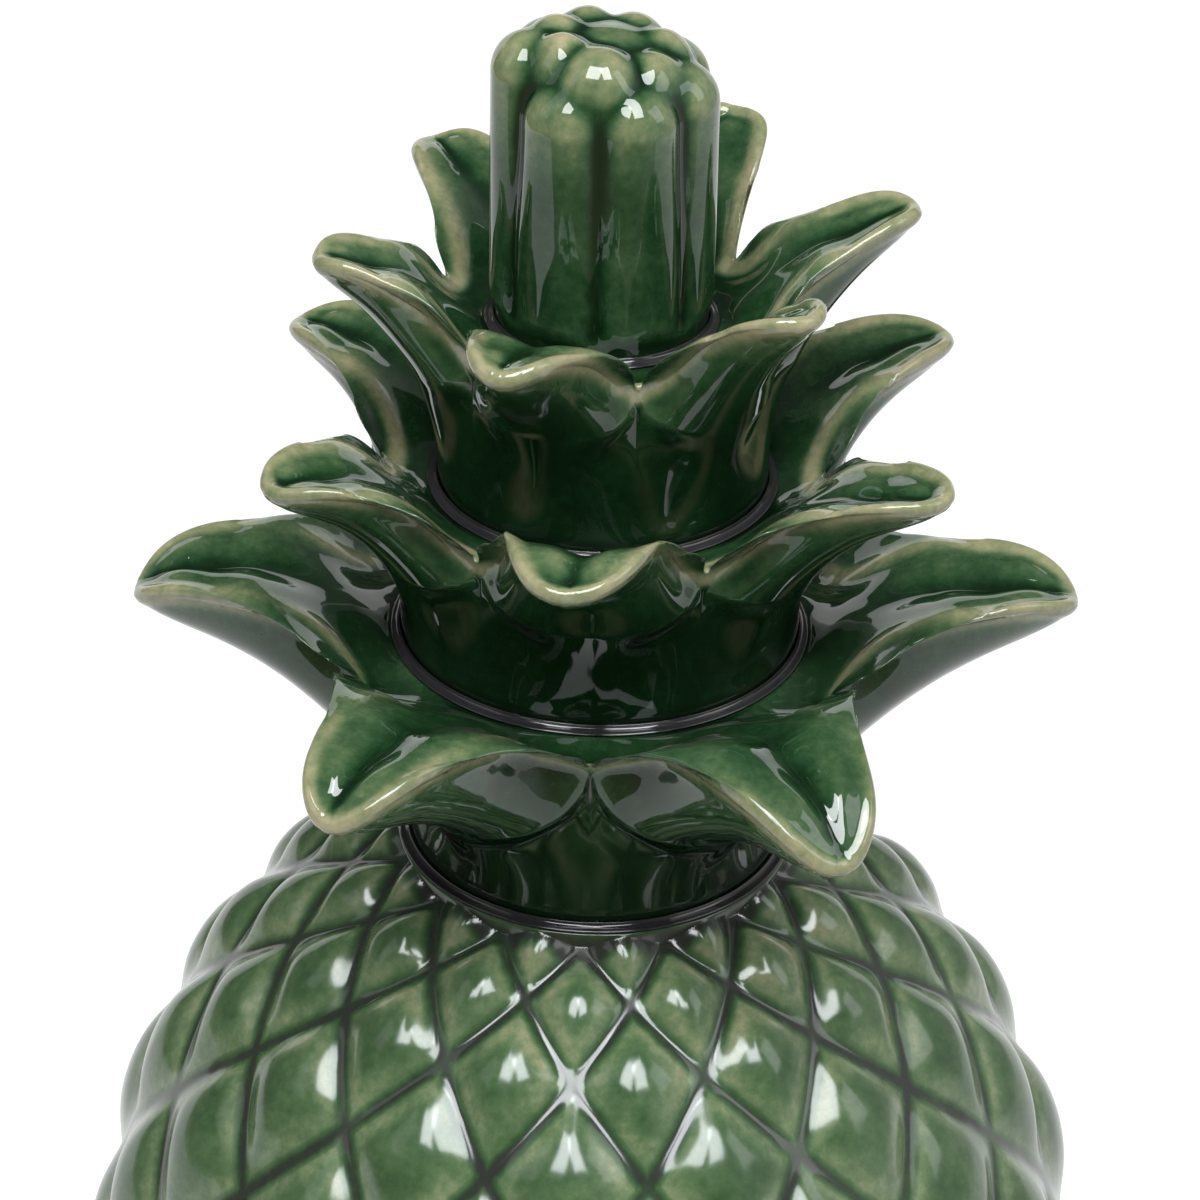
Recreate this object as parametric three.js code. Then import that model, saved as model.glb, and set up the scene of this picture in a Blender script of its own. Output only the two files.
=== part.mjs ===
// A glazed earthenware pineapple: a quilted hollow fruit, three tiers of leaves and a closed leaf bud.
// Each piece is cast by itself, set on the flat land of the piece below and luted to it with slip.
// Millimetres, +Z up, origin on the table under the middle of the fruit. Bearings turn from -Y towards +X.
import * as THREE from 'three';
import { mergeVertices } from 'three/addons/utils/BufferGeometryUtils.js';

// Driving dimensions of the fruit
const FRUIT_RADIUS = 126;          // over the crests of the diamonds, at the widest ring
const WIDEST_HEIGHT = 115;         // height of that ring above the table
const SHOULDER_RISE = 156.6;       // half axis of the upper ellipse
const BELLY_DROP = 130;            // half axis of the lower ellipse
const CELLS_AROUND = 15;           // diamonds in one ring
const CELL_SLANT = 1.35;           // height of a half diamond for each unit of its half width
const CELL_RISE = 4.3;             // depth of the grooves between diamonds
const CELL_FULLNESS = 3;           // higher makes a diamond flatter on top
const CELL_BEARING = -3;           // bearing of the first groove crossing, degrees
const FRUIT_WALL = 7;              // wall under the grooves
const FOOT_RADIUS = 66;            // plain band at the bottom
const FOOT_HEIGHT = 5;
const FOOT_STEP = 1;               // small step in from the quilting
const FOOT_RING_WIDTH = 11;        // flat ring that stands on the table
const BASE_RECESS = 3.5;
const BASE_WALL = 8;
const VENT_RADIUS = 6;
const NECK_LAND_RISE = 0.6;        // flat land round the mouth, above the crest line of the fruit
const LAND_EDGE = 0.5;             // rounded off at the outside of that land

// Driving dimensions shared by the crown's pieces
const LUTE_GAP = 0.3;              // joint left between two pieces
const LUTE_WIDTH = 2;              // fillet of slip and pooled glaze in each corner
const LUTE_HEIGHT = 2;
const LUTE_LIP = 0.5;              // thickness left at the outside of the fillet
const LUTE_WAIST = [0.3, 0.4];     // hollow of the fillet, in shares of its width and height
const FOOT_BAND = 4;               // upright band at the foot of every crown piece
const FOOT_WALL = 9;               // width of the flat foot of every crown piece
const LAND_THICKNESS = 9;          // shelf at the top of a tier, which carries the next piece
const LEAVES = 6;
const LOWER_FOOT = 43.9;           // radius of each piece at its foot
const MIDDLE_FOOT = 45.5;
const UPPER_FOOT = 37;
const BUD_FOOT = 23.5;
const BUD_OFFSET = -1;             // the bud is luted a little off the middle, along X

// Each tier in its own frame, from the land that it stands on. Lines are Bezier curves in the plane
// through a leaf's middle, as [radius, height] handles between their two ends.
const LOWER_TIER = {
  name: 'lower_leaf_tier',
  bearing: -31.2,
  foot: LOWER_FOOT,
  carries: MIDDLE_FOOT,
  land: 54,
  notch: [57.5, 55],
  tip: [108, 59],
  keelHandles: [[48, 25], [78, 51]],
  grooveHandles: [[62, 64], [101, 75.5]],
  rimHandles: [[64, 64], [98, 73]],
  halfWidth: 17.8,
  fold: 3.2,
  bowl: 2.2,
  lift: [0, -6.5, 5.5, 0, 0, 0],
  reach: [0, 0, 0, 0, 0, -2],
  turn: [0, 0, 0, 0, 0, 0],
  arch: [0, 0, 0, 0, 0, 0],
  width: [0.9, 1, 1, 1, 1, 1],
};
const MIDDLE_TIER = {
  name: 'middle_leaf_tier',
  bearing: -2.7,
  foot: MIDDLE_FOOT,
  carries: UPPER_FOOT,
  land: 38.8,
  notch: [47, 39],
  tip: [84.9, 57],
  keelHandles: [[46.5, 22], [61, 47]],
  grooveHandles: [[50, 50], [77, 60]],
  rimHandles: [[53, 54], [76, 60]],
  halfWidth: 13.8,
  fold: 2.2,
  bowl: 1.6,
  lift: [0, 3, -1.5, 0, -4.5, -3.5],
  reach: [0, 1.6, 3.5, 0, 0, -4],
  turn: [-2.3, 0, 0, 0, 0, 0],
  arch: [4, 0, 0, 0, 0, 0],
  width: [1.22, 1, 1, 1, 1, 1],
};
const UPPER_TIER = {
  name: 'upper_leaf_tier',
  bearing: -19.3,
  foot: UPPER_FOOT,
  carries: BUD_FOOT,
  carriedOffset: Math.abs(BUD_OFFSET),
  land: 39.7,
  notch: [36, 40.5],
  tip: [66.1, 60.6],
  keelHandles: [[38, 24], [48, 49]],
  grooveHandles: [[38, 50], [59, 64.5]],
  rimHandles: [[41, 55], [60, 64]],
  halfWidth: 11.2,
  fold: 1.6,
  bowl: 0.9,
  lift: [-5, 3, 0.5, 4, -3.5, -3.5],
  reach: [0, -1.5, 2.7, -3, 0, -2.5],
  turn: [0, 0, 0, -8, -3, 0],
  arch: [-1.5, 0, -1.5, 0, 0, -1.5],
  width: [1.1, 1, 1, 1.6, 1.1, 1],
};
const NOTCH_SHARE = 0.43;          // share of a leaf's length at which it parts from its neighbours
const EDGE_ROOT = 0.3;             // share of the blade over which its edge swings out of the notch
const CORE_ROOT = 0.7;             // the same for the middle of the blade
const EDGE_HUG = 5;                // how closely only the edge follows the notch
const BLADE_POINT = 2.6;           // exponents of the blade's outline
const BLADE_ROUND = 0.52;
const KEEL_END = [-1.5, -6];       // where underside and face end, from the tip of the rim
const GROOVE_END = [-1, 1];
const NOSE = 9;                    // higher closes underside and face more bluntly onto the tip
const LIP = 0.7;                   // bead along the rim, on the face
const BOWL_START = [0.05, 0.35];   // shares of the blade over which its face sinks between the edges
const BOWL_END = [0.72, 1];        // and rises again to the tip
const BOWL_EDGE = [0.5, 0.9];      // shares of the half width over which it rises to the edge
const LIP_REACH = 1.7;             // distance of its crest from the rim
const LIP_START = 0.15;            // share of the blade over which it rises
const LOBING = 1.1;                // how soon the cup swells into leaves
const LOBE_SHARE = [0.2, 0.43];    // the soft lobes of the cup turn into the leaves' own sections
const KEEL_ROUND = 2;              // exponents of the section under and over the rim
const FACE_ROUND = 4;
const CREASE = 0.18;               // half width of the middle groove, share of the half leaf
const FOLD_START = [0.12, 0.5];    // shares of a leaf's length over which its face swells beside the groove
const FOLD_END = [0.7, 1];         // and sinks again
const FOLD_ROUND = 3;              // higher keeps the swelling out to the rim
const HAND_POWER = 1.5;            // how much later than the notch a leaf bends out of line
const ARCH_EARLY = 0.75;           // lower brings the top of a leaf's arch nearer the notch

// Driving dimensions of the bud: upright leaves with rounded ends, pressed round a core
const BUD_CENTRE = 44;             // over this height the dome is measured from one point on the axis
const BUD_HOLLOW = 14;
const BUD_ROOF = [[0, 53.3], [9.8, 49.8]];  // top of the hollow, as radius and height
const BUD_BLEND = 0.9;             // rounding between two leaves
const BUD_BEARING = -4;            // bearing of the crease in front
const FOOT_BLEND = [3, 8];         // heights between which the round foot turns into the leaves
const FINGER_SQUARE = 2.3;         // higher makes a leaf's section squarer
const FINGER_SPREAD = 0.16;        // how much wider a leaf is at its foot
const FINGER_WAIST = 0.3;          // share of its height from which it narrows
// Bearing, top, distance of the middle from the axis, half width, half thickness, height of the end
const FINGERS = [
  [-30, 60.8, 16.2, 8.8, 8.3, 9],
  [22.5, 60.8, 16.2, 8.5, 8.3, 9],
  [73, 62, 16.2, 8.6, 8.3, 9],
  [125, 62, 16.2, 8.6, 8.3, 9],
  [177, 63, 16.2, 8.6, 8.3, 9],
  [229, 65, 16.2, 8.6, 8.3, 9],
  [-81, 67.5, 16.8, 8.1, 8, 9],
  [-8, 68, 12.6, 8.6, 8, 9],
  [47, 65.5, 12.6, 7.6, 7, 9],
  [100, 66.5, 11.5, 7.4, 7.4, 10],
  [151, 67, 11, 7.4, 7.6, 10],
  [203, 68, 11, 7.4, 7.6, 10],
  [256, 69, 11, 7.4, 7.6, 10],
  [-52, 69, 12, 7.2, 7.2, 11],
];
const CORE_RADIUS = 17.8;
const CORE_SHOULDER = 48;
const CORE_TOP = 67.5;

// Steps of the faceted surfaces
const CELL_STEPS = 4;
const LEAF_STEPS = 8;
const CUP_ROWS = 3;
const BLADE_ROWS = 7;
const ROW_EASE = 0.9;              // spreads the rows of the blade towards its tip
const CAVITY_ROWS = 6;
const BUD_STEPS = 49;
const BUD_LEVELS = [LUTE_GAP, ...FOOT_BLEND, 22, 34];
const BUD_LEANS = 14;
const SEARCH_START = 36;           // the bud's surface is searched inwards from here
const SEARCH_STEP = 0.5;
const SEARCH_HALVINGS = 9;
const LUTE_STEPS = 30;
const LATTICE_SAMPLES = 2000;
const WELD = 1e-3;

const GLAZE_GREEN = new THREE.Color(0x33602f);
const GLAZE_DARK = new THREE.Color(0x1c3f1e);
const GLAZE_POOLED = new THREE.Color(0x1b1b1c);
const GLAZE_ROUGHNESS = 0.12;

const radians = THREE.MathUtils.degToRad;
const smoothstep = THREE.MathUtils.smoothstep;

function glaze(color) {
  return new THREE.MeshStandardMaterial({ color, roughness: GLAZE_ROUGHNESS, metalness: 0 });
}

function polar(bearing, radius, height) {
  return new THREE.Vector3(radius * Math.sin(bearing), -radius * Math.cos(bearing), height);
}

// Radius of the land that carries a foot and the fillet round it
function landRadius(foot, offset = 0) {
  return foot + LUTE_WIDTH + 2 * LUTE_GAP + offset;
}

// A skin gathers quads between rows of points, and welds them into one closed surface.
class Skin {
  constructor() {
    this.points = [];
    this.triangles = [];
  }

  row(points) {
    const first = this.points.length;
    this.points.push(...points);
    return points.map((_, i) => first + i);
  }

  // Joins row a to row b. The outside is on the left when walking along a row with b ahead.
  bridge(a, b, wrap = true, leanLeft = () => true) {
    const count = wrap ? a.length : a.length - 1;
    for (let i = 0; i < count; i += 1) {
      const j = (i + 1) % a.length;
      if (leanLeft(i)) {
        this.triangles.push([a[i], a[j], b[j]], [a[i], b[j], b[i]]);
      } else {
        this.triangles.push([a[i], a[j], b[i]], [a[j], b[j], b[i]]);
      }
    }
  }

  bridgeAll(rows, wrap = true, leanLeft = () => true) {
    for (let i = 0; i + 1 < rows.length; i += 1) {
      this.bridge(rows[i], rows[i + 1], wrap, (j) => leanLeft(i, j));
    }
  }

  geometry() {
    const loose = new THREE.BufferGeometry();
    loose.setAttribute('position', new THREE.Float32BufferAttribute(
      this.points.flatMap((p) => [p.x, p.y, p.z]), 3));
    loose.setIndex(this.triangles.flat());
    const welded = mergeVertices(loose, WELD);
    const index = welded.getIndex().array;
    const kept = [];
    for (let i = 0; i < index.length; i += 3) {
      const [a, b, c] = [index[i], index[i + 1], index[i + 2]];
      if (a !== b && b !== c && c !== a) {
        kept.push(a, b, c);
      }
    }
    welded.setIndex(kept);
    welded.computeVertexNormals();
    return welded;
  }
}

function ring(steps, radius, height) {
  return Array.from({ length: steps }, (_, i) => polar((2 * Math.PI * i) / steps, radius, height));
}

function mesh(name, skin, material) {
  const made = new THREE.Mesh(skin.geometry(), material);
  made.name = name;
  return made;
}

// Fruit

function crestPoint(angle, inset = 0) {
  const drop = angle < Math.PI / 2 ? SHOULDER_RISE : BELLY_DROP;
  return [
    (FRUIT_RADIUS - inset) * Math.sin(angle),
    WIDEST_HEIGHT + (drop - inset) * Math.cos(angle),
  ];
}

// Rows of the diamond lattice: a step of 1 climbs from one ring of groove crossings to the next.
function latticeRows() {
  const start = Math.asin(landRadius(LOWER_FOOT) / FRUIT_RADIUS);
  const end = Math.PI - Math.asin(FOOT_RADIUS / FRUIT_RADIUS);
  const rows = [];
  let count = 0;
  let next = 0;
  let last = crestPoint(start);
  for (let i = 0; i <= LATTICE_SAMPLES; i += 1) {
    const angle = start + ((end - start) * i) / LATTICE_SAMPLES;
    const here = crestPoint(angle);
    const run = Math.hypot(here[0] - last[0], here[1] - last[1]);
    count += (run * CELLS_AROUND) / (CELL_SLANT * Math.PI * here[0]);
    if (count >= next || i === LATTICE_SAMPLES) {
      rows.push({ angle, count });
      next += 2 / CELL_STEPS;
    }
    last = here;
  }
  return rows;
}

function cellHeight(across) {
  const share = across - Math.floor(across);
  return 1 - Math.abs(2 * share - 1) ** CELL_FULLNESS;
}

function quiltedRow({ angle, count }) {
  const steps = CELLS_AROUND * CELL_STEPS;
  const [radius, height] = crestPoint(angle);
  const drop = angle < Math.PI / 2 ? SHOULDER_RISE : BELLY_DROP;
  const slope = Math.atan2(FRUIT_RADIUS * Math.cos(angle), drop * Math.sin(angle));
  const fade = smoothstep(height, FOOT_HEIGHT, FOOT_HEIGHT + 2 * CELL_RISE);
  return Array.from({ length: steps }, (_, i) => {
    const turn = i / CELL_STEPS;
    const cell = cellHeight(turn + count / 2) * cellHeight(turn - count / 2);
    const inset = CELL_RISE * (1 - cell) * fade;
    const bearing = (2 * Math.PI * i) / steps + radians(CELL_BEARING);
    return polar(bearing, radius - inset * Math.cos(slope), height - inset * Math.sin(slope));
  });
}

function neckLandHeight() {
  const angle = Math.asin(landRadius(LOWER_FOOT) / FRUIT_RADIUS);
  return crestPoint(angle)[1] + NECK_LAND_RISE;
}

// Inside of the shell, from the mouth down to the floor
function cavityRows(steps) {
  const inset = CELL_RISE + FRUIT_WALL;
  const floor = BASE_RECESS + BASE_WALL;
  const highest = Math.asin((LOWER_FOOT - FOOT_WALL) / (FRUIT_RADIUS - inset));
  const lowest = Math.PI - Math.acos((WIDEST_HEIGHT - floor) / (BELLY_DROP - inset));
  return Array.from({ length: CAVITY_ROWS + 1 }, (_, i) => {
    const [radius, height] = crestPoint(highest + ((lowest - highest) * i) / CAVITY_ROWS, inset);
    return ring(steps, radius, height);
  });
}

function fruit() {
  const skin = new Skin();
  const steps = CELLS_AROUND * CELL_STEPS;
  const lattice = latticeRows().reverse();
  const land = neckLandHeight();
  const floor = BASE_RECESS + BASE_WALL;
  const footOuter = FOOT_RADIUS - FOOT_STEP;
  const footInner = footOuter - FOOT_RING_WIDTH;
  const inside = [
    ...cavityRows(steps),
    ring(steps, VENT_RADIUS, floor),
    ring(steps, VENT_RADIUS, BASE_RECESS),
    ring(steps, footInner - BASE_RECESS, BASE_RECESS),
    ring(steps, footInner, 0),
    ring(steps, footOuter, 0),
    ring(steps, footOuter, FOOT_HEIGHT - FOOT_STEP),
  ].map((points) => skin.row(points));
  const outside = lattice.map((row) => skin.row(quiltedRow(row)));
  const top = [landRadius(LOWER_FOOT) - LAND_EDGE, LOWER_FOOT - FOOT_WALL].map(
    (radius) => skin.row(ring(steps, radius, land)));
  skin.bridgeAll([...inside, outside[0]]);
  // Over a groove, the diagonals of the facets run along it.
  const overGroove = (i, j) => (j + 1 - Math.round((lattice[i].count * CELL_STEPS) / 2)) % CELL_STEPS === 0;
  skin.bridgeAll(outside, true, (i, j) => !overGroove(i, j));
  skin.bridgeAll([outside.at(-1), ...top, inside[0]]);
  return mesh('fruit', skin, glaze(GLAZE_GREEN));
}

// Leaf tiers

function onBezier([a, b, c, d], share) {
  const rest = 1 - share;
  return [0, 1].map((k) => rest ** 3 * a[k] + 3 * rest ** 2 * share * b[k]
    + 3 * rest * share ** 2 * c[k] + share ** 3 * d[k]);
}

function besideTip(tier, [out, up]) {
  return [tier.tip[0] + out, tier.tip[1] + up];
}

function tierLines(tier) {
  return {
    keel: [[tier.foot, FOOT_BAND], ...tier.keelHandles, besideTip(tier, KEEL_END)],
    groove: [[landRadius(tier.carries, tier.carriedOffset), tier.land], ...tier.grooveHandles,
      besideTip(tier, GROOVE_END)],
    rim: [tier.notch, ...tier.rimHandles, tier.tip],
  };
}

// Half width of the blade at a share of its length; the root swings out into the notch.
function bladeHalfWidth(tier, leaf, share, rootShare, rootPower) {
  const rootWidth = (Math.PI / LEAVES) * tier.notch[0];
  const widest = tier.halfWidth * tier.width[leaf];
  const blade = widest * Math.max(0, 1 - share ** BLADE_POINT) ** BLADE_ROUND;
  const root = Math.max(0, 1 - (share / rootShare) ** rootPower);
  return blade + (rootWidth - widest) * root ** 2;
}

// Line that the section is drawn from: the middle of the wall in the cup, the rim along the blade
function rimPoint(lines, share) {
  if (share > NOTCH_SHARE) {
    return onBezier(lines.rim, (share - NOTCH_SHARE) / (1 - NOTCH_SHARE));
  }
  const rise = (share / NOTCH_SHARE) ** 2;
  const [keel, groove] = [onBezier(lines.keel, share), onBezier(lines.groove, share)];
  const [keelEnd, grooveEnd] = [onBezier(lines.keel, NOTCH_SHARE), onBezier(lines.groove, NOTCH_SHARE)];
  return [0, 1].map((k) => {
    const middle = (keel[k] + groove[k]) / 2;
    const middleEnd = (keelEnd[k] + grooveEnd[k]) / 2;
    return middle + (lines.rim[0][k] - middleEnd) * rise;
  });
}

// Swelling of a leaf's face beside its middle groove, and the bead along its rim
function faceRise(tier, leaf, share, blade, reach) {
  const swell = smoothstep(share, ...FOLD_START) * (1 - smoothstep(share, ...FOLD_END));
  const fold = tier.fold * swell * (1 - Math.exp(-((reach / CREASE) ** 2))) * (1 - reach ** FOLD_ROUND);
  const bowl = tier.bowl * smoothstep(blade, ...BOWL_START) * (1 - smoothstep(blade, ...BOWL_END))
    * (1 - smoothstep(reach, ...BOWL_EDGE));
  const inside = ((1 - reach) * bladeHalfWidth(tier, leaf, blade, CORE_ROOT, 1)) / LIP_REACH;
  return fold - bowl + LIP * smoothstep(blade, 0, LIP_START) * inside * Math.exp(1 - inside);
}

// One point of a tier: side is keel or groove, share runs from the foot to the tip, across from -1 to 1.
function leafPoint(tier, leaf, side, share, across) {
  const lines = tierLines(tier);
  const line = onBezier(lines[side], share);
  const rim = rimPoint(lines, share);
  const reach = Math.abs(across);
  const blade = Math.max(0, (share - NOTCH_SHARE) / (1 - NOTCH_SHARE));
  const edge = blade > 0 ? 0 : 1 - (share / NOTCH_SHARE) ** LOBING;
  const power = side === 'keel' ? KEEL_ROUND : FACE_ROUND;
  const nose = Math.sqrt(Math.max(0, 1 - blade ** NOSE));
  const lobe = edge + ((1 - edge) * (1 + Math.cos(Math.PI * reach))) / 2;
  const section = Math.sqrt(Math.max(0, 1 - (1 - edge * edge) * reach ** power));
  const depth = nose * (lobe + (section - lobe) * smoothstep(share, ...LOBE_SHARE));
  const hand = blade ** HAND_POWER;
  const radius = rim[0] + (line[0] - rim[0]) * depth + tier.reach[leaf] * hand;
  const arch = tier.arch[leaf] * Math.sin(Math.PI * blade ** ARCH_EARLY) ** 2;
  const rise = side === 'groove' ? faceRise(tier, leaf, share, blade, reach) : 0;
  const height = rim[1] + (line[1] - rim[1]) * depth + tier.lift[leaf] * hand + arch + rise;
  const full = Math.PI / LEAVES;
  const swingOut = (root, rootPower) => (
    blade > 0 ? bladeHalfWidth(tier, leaf, blade, root, rootPower) / rim[0] : full);
  const mix = reach ** EDGE_HUG;
  const swing = (swingOut(CORE_ROOT, 1) * (1 - mix) + swingOut(EDGE_ROOT, 0.5) * mix) * across;
  const bearing = radians(tier.bearing + tier.turn[leaf] * hand) + 2 * full * leaf + swing;
  return polar(bearing, radius, height);
}

function leafTier(tier) {
  const skin = new Skin();
  const cupShares = Array.from({ length: CUP_ROWS + 1 }, (_, i) => (NOTCH_SHARE * i) / CUP_ROWS);
  const bladeShares = Array.from({ length: BLADE_ROWS + 1 }, (_, i) => {
    const even = i / BLADE_ROWS;
    return NOTCH_SHARE + (1 - NOTCH_SHARE) * even ** 2 * (1 + ROW_EASE * (1 - even));
  });
  const stations = Array.from({ length: LEAF_STEPS + 1 },
    (_, j) => Math.sin((Math.PI / 2) * ((2 * j) / LEAF_STEPS - 1)));
  const shares = [...cupShares, ...bladeShares.slice(1)];
  for (let leaf = 0; leaf < LEAVES; leaf += 1) {
    for (const side of ['keel', 'groove']) {
      const rows = shares.map((share) => skin.row(
        stations.map((across) => leafPoint(tier, leaf, side, share, across))));
      skin.bridgeAll(side === 'keel' ? rows : rows.reverse(), false,
        (_, j) => (j < LEAF_STEPS / 2) === (side === 'keel'));
    }
  }
  // The land on top, the bore and the flat foot close the ring, on the same bearings as the leaves.
  const circle = (radius, height) => skin.row(Array.from({ length: LEAVES }).flatMap((_, leaf) => (
    stations.slice(0, -1).map((across) => polar(
      radians(tier.bearing) + (Math.PI / LEAVES) * (2 * leaf + across), radius, height)))));
  const inner = [
    circle(landRadius(tier.carries, tier.carriedOffset), tier.land),
    circle(tier.carries - FOOT_WALL, tier.land),
    circle(tier.carries - FOOT_WALL, tier.land - LAND_THICKNESS / 2),
    circle(tier.foot - FOOT_WALL, tier.land - LAND_THICKNESS),
    circle(tier.foot - FOOT_WALL, LUTE_GAP),
    circle(tier.foot, LUTE_GAP),
    circle(tier.foot, FOOT_BAND),
  ];
  skin.bridgeAll(inner);
  return mesh(tier.name, skin, glaze(GLAZE_DARK));
}

// Bud

// Negative inside one upright leaf with a rounded end
function fingerField(point, [bearing, top, centre, halfWidth, halfDepth, end]) {
  const turn = radians(bearing);
  const out = (point.x * Math.sin(turn) - point.y * Math.cos(turn) - centre) / halfDepth;
  const spread = 1 + FINGER_SPREAD * (1 - smoothstep(point.z, FINGER_WAIST * top, top - end));
  const across = (point.x * Math.cos(turn) + point.y * Math.sin(turn)) / (halfWidth * spread);
  const rise = Math.max(0, point.z - (top - end)) / end;
  const section = Math.abs(out) ** FINGER_SQUARE + Math.abs(across) ** FINGER_SQUARE;
  return (Math.hypot(section ** (1 / FINGER_SQUARE), rise) - 1) * halfDepth;
}

function budField(point) {
  const rise = Math.max(0, point.z - CORE_SHOULDER) / (CORE_TOP - CORE_SHOULDER);
  const core = (Math.hypot(point.x / CORE_RADIUS, point.y / CORE_RADIUS, rise) - 1) * CORE_RADIUS;
  const fields = [core, ...FINGERS.map((finger) => fingerField(point, finger))];
  const lowest = Math.min(...fields);
  const sum = fields.reduce((total, field) => total + Math.exp((lowest - field) / BUD_BLEND), 0);
  return lowest - BUD_BLEND * Math.log(sum);
}

// Where a ray from the axis leaves the bud: origin is its height, lean its angle over level.
function budPoint(bearing, origin, lean) {
  const at = (reach) => polar(bearing, reach * Math.cos(lean), origin + reach * Math.sin(lean));
  let inside = SEARCH_START;
  while (budField(at(inside)) > 0) {
    inside -= SEARCH_STEP;
  }
  let outside = inside + SEARCH_STEP;
  for (let i = 0; i < SEARCH_HALVINGS; i += 1) {
    const middle = (inside + outside) / 2;
    if (budField(at(middle)) > 0) {
      outside = middle;
    } else {
      inside = middle;
    }
  }
  return at((inside + outside) / 2);
}

function bud() {
  const skin = new Skin();
  const bearings = Array.from({ length: BUD_STEPS },
    (_, i) => radians(BUD_BEARING) + (2 * Math.PI * i) / BUD_STEPS);
  const circle = (radius, height) => skin.row(bearings.map((bearing) => polar(bearing, radius, height)));
  const column = BUD_LEVELS.map((height) => skin.row(bearings.map((bearing) => {
    const foot = polar(bearing, BUD_FOOT, height);
    return foot.lerp(budPoint(bearing, height, 0), smoothstep(height, ...FOOT_BLEND));
  })));
  const dome = Array.from({ length: BUD_LEANS + 1 }, (_, i) => skin.row(bearings.map(
    (bearing) => budPoint(bearing, BUD_CENTRE, (Math.PI / 2) * (i / BUD_LEANS)))));
  const inner = [
    ...BUD_ROOF.map(([radius, height]) => circle(radius, height)),
    circle(BUD_HOLLOW, BUD_CENTRE),
    circle(BUD_HOLLOW, LUTE_GAP),
  ];
  skin.bridgeAll([...inner, ...column, ...dome]);
  return mesh('leaf_bud', skin, glaze(GLAZE_DARK));
}

// Fillet of slip round a foot, in the corner that the foot makes with the land
function lutingRing(name, footRadius) {
  const skin = new Skin();
  const inner = footRadius + LUTE_GAP;
  const outer = inner + LUTE_WIDTH;
  const rows = [
    ring(LUTE_STEPS, inner, LUTE_GAP),
    ring(LUTE_STEPS, inner, LUTE_HEIGHT),
    ring(LUTE_STEPS, inner + LUTE_WAIST[0] * LUTE_WIDTH, LUTE_WAIST[1] * LUTE_HEIGHT),
    ring(LUTE_STEPS, outer, LUTE_GAP + LUTE_LIP),
    ring(LUTE_STEPS, outer, LUTE_GAP),
  ].map((points) => skin.row(points));
  skin.bridgeAll([...rows, rows[0]].reverse());
  return mesh(name, skin, glaze(GLAZE_POOLED));
}

// Assembly: every seat is a group at the height of its land, one on top of the other.
function seat(height, ...pieces) {
  const group = new THREE.Group();
  group.position.z = height;
  group.add(...pieces);
  return group;
}

const budSeat = seat(UPPER_TIER.land, bud(), lutingRing('bud_luting_ring', BUD_FOOT));
budSeat.position.x = BUD_OFFSET;
const upperSeat = seat(MIDDLE_TIER.land, leafTier(UPPER_TIER),
  lutingRing('upper_luting_ring', UPPER_TIER.foot), budSeat);
const middleSeat = seat(LOWER_TIER.land, leafTier(MIDDLE_TIER),
  lutingRing('middle_luting_ring', MIDDLE_TIER.foot), upperSeat);
const neckSeat = seat(neckLandHeight(), leafTier(LOWER_TIER),
  lutingRing('neck_luting_ring', LOWER_TIER.foot), middleSeat);

const pineapple = new THREE.Group();
pineapple.name = 'ceramic_pineapple';
pineapple.add(fruit(), neckSeat);
export default pineapple;
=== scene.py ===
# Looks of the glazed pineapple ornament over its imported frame. The shapes follow the same formulas
# as the solids, in finer steps. They are worked out in millimetres and hung on the frame in metres.
import math

import bpy
import numpy as np
from mathutils import Matrix, Vector


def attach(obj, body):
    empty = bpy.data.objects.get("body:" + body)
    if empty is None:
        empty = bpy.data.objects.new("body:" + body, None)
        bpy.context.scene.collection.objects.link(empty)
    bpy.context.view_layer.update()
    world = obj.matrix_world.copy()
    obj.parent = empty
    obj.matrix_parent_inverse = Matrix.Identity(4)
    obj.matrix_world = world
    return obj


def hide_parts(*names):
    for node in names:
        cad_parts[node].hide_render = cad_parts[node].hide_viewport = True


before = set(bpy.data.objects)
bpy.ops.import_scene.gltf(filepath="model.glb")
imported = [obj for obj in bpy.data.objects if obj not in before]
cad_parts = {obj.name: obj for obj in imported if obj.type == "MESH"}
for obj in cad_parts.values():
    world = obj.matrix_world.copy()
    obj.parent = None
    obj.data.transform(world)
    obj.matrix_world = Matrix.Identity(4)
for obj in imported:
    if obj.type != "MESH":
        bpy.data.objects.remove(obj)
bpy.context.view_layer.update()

LEAVES = 6                    # in each tier
SECTOR = math.pi / LEAVES     # half of the bearing that a leaf takes up

# Fruit
FRUIT_RADIUS = 126.0
WIDEST_HEIGHT = 115.0
SHOULDER_RISE = 156.6
BELLY_DROP = 130.0
CELLS_AROUND = 15
CELL_SLANT = 1.35             # height of a diamond over its width
CELL_RISE = 4.3
CELL_FULLNESS = 3.0
CELL_BEARING = -3.0
GROOVE_ROUND = 0.085          # rounding of a groove's bottom, share of a diamond's width
FRUIT_WALL = 7.0
FOOT_RADIUS = 66.0
FOOT_HEIGHT = 5.0
FOOT_STEP = 1.0
FOOT_RING_WIDTH = 11.0
BASE_RECESS = 3.5
BASE_WALL = 8.0
VENT_RADIUS = 6.0
NECK_LAND_RISE = 0.6
MOUTH_EDGE = ((0.15, 0.45), (0.5, 0.1), (0.9, 0.0))  # in from the lip and down from the land
FOOT_FLARE = 0.3
FOOT_EDGE = 0.8

# Crown
LUTE_GAP = 0.3
LUTE_WIDTH = 2.0
LUTE_HEIGHT = 2.0
FOOT_BAND = 4.0
FOOT_WALL = 9.0
LAND_THICKNESS = 9.0
LOWER_FOOT = 43.9
MIDDLE_FOOT = 45.5
UPPER_FOOT = 37.0
BUD_FOOT = 23.5
BUD_OFFSET = -1.0

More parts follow.
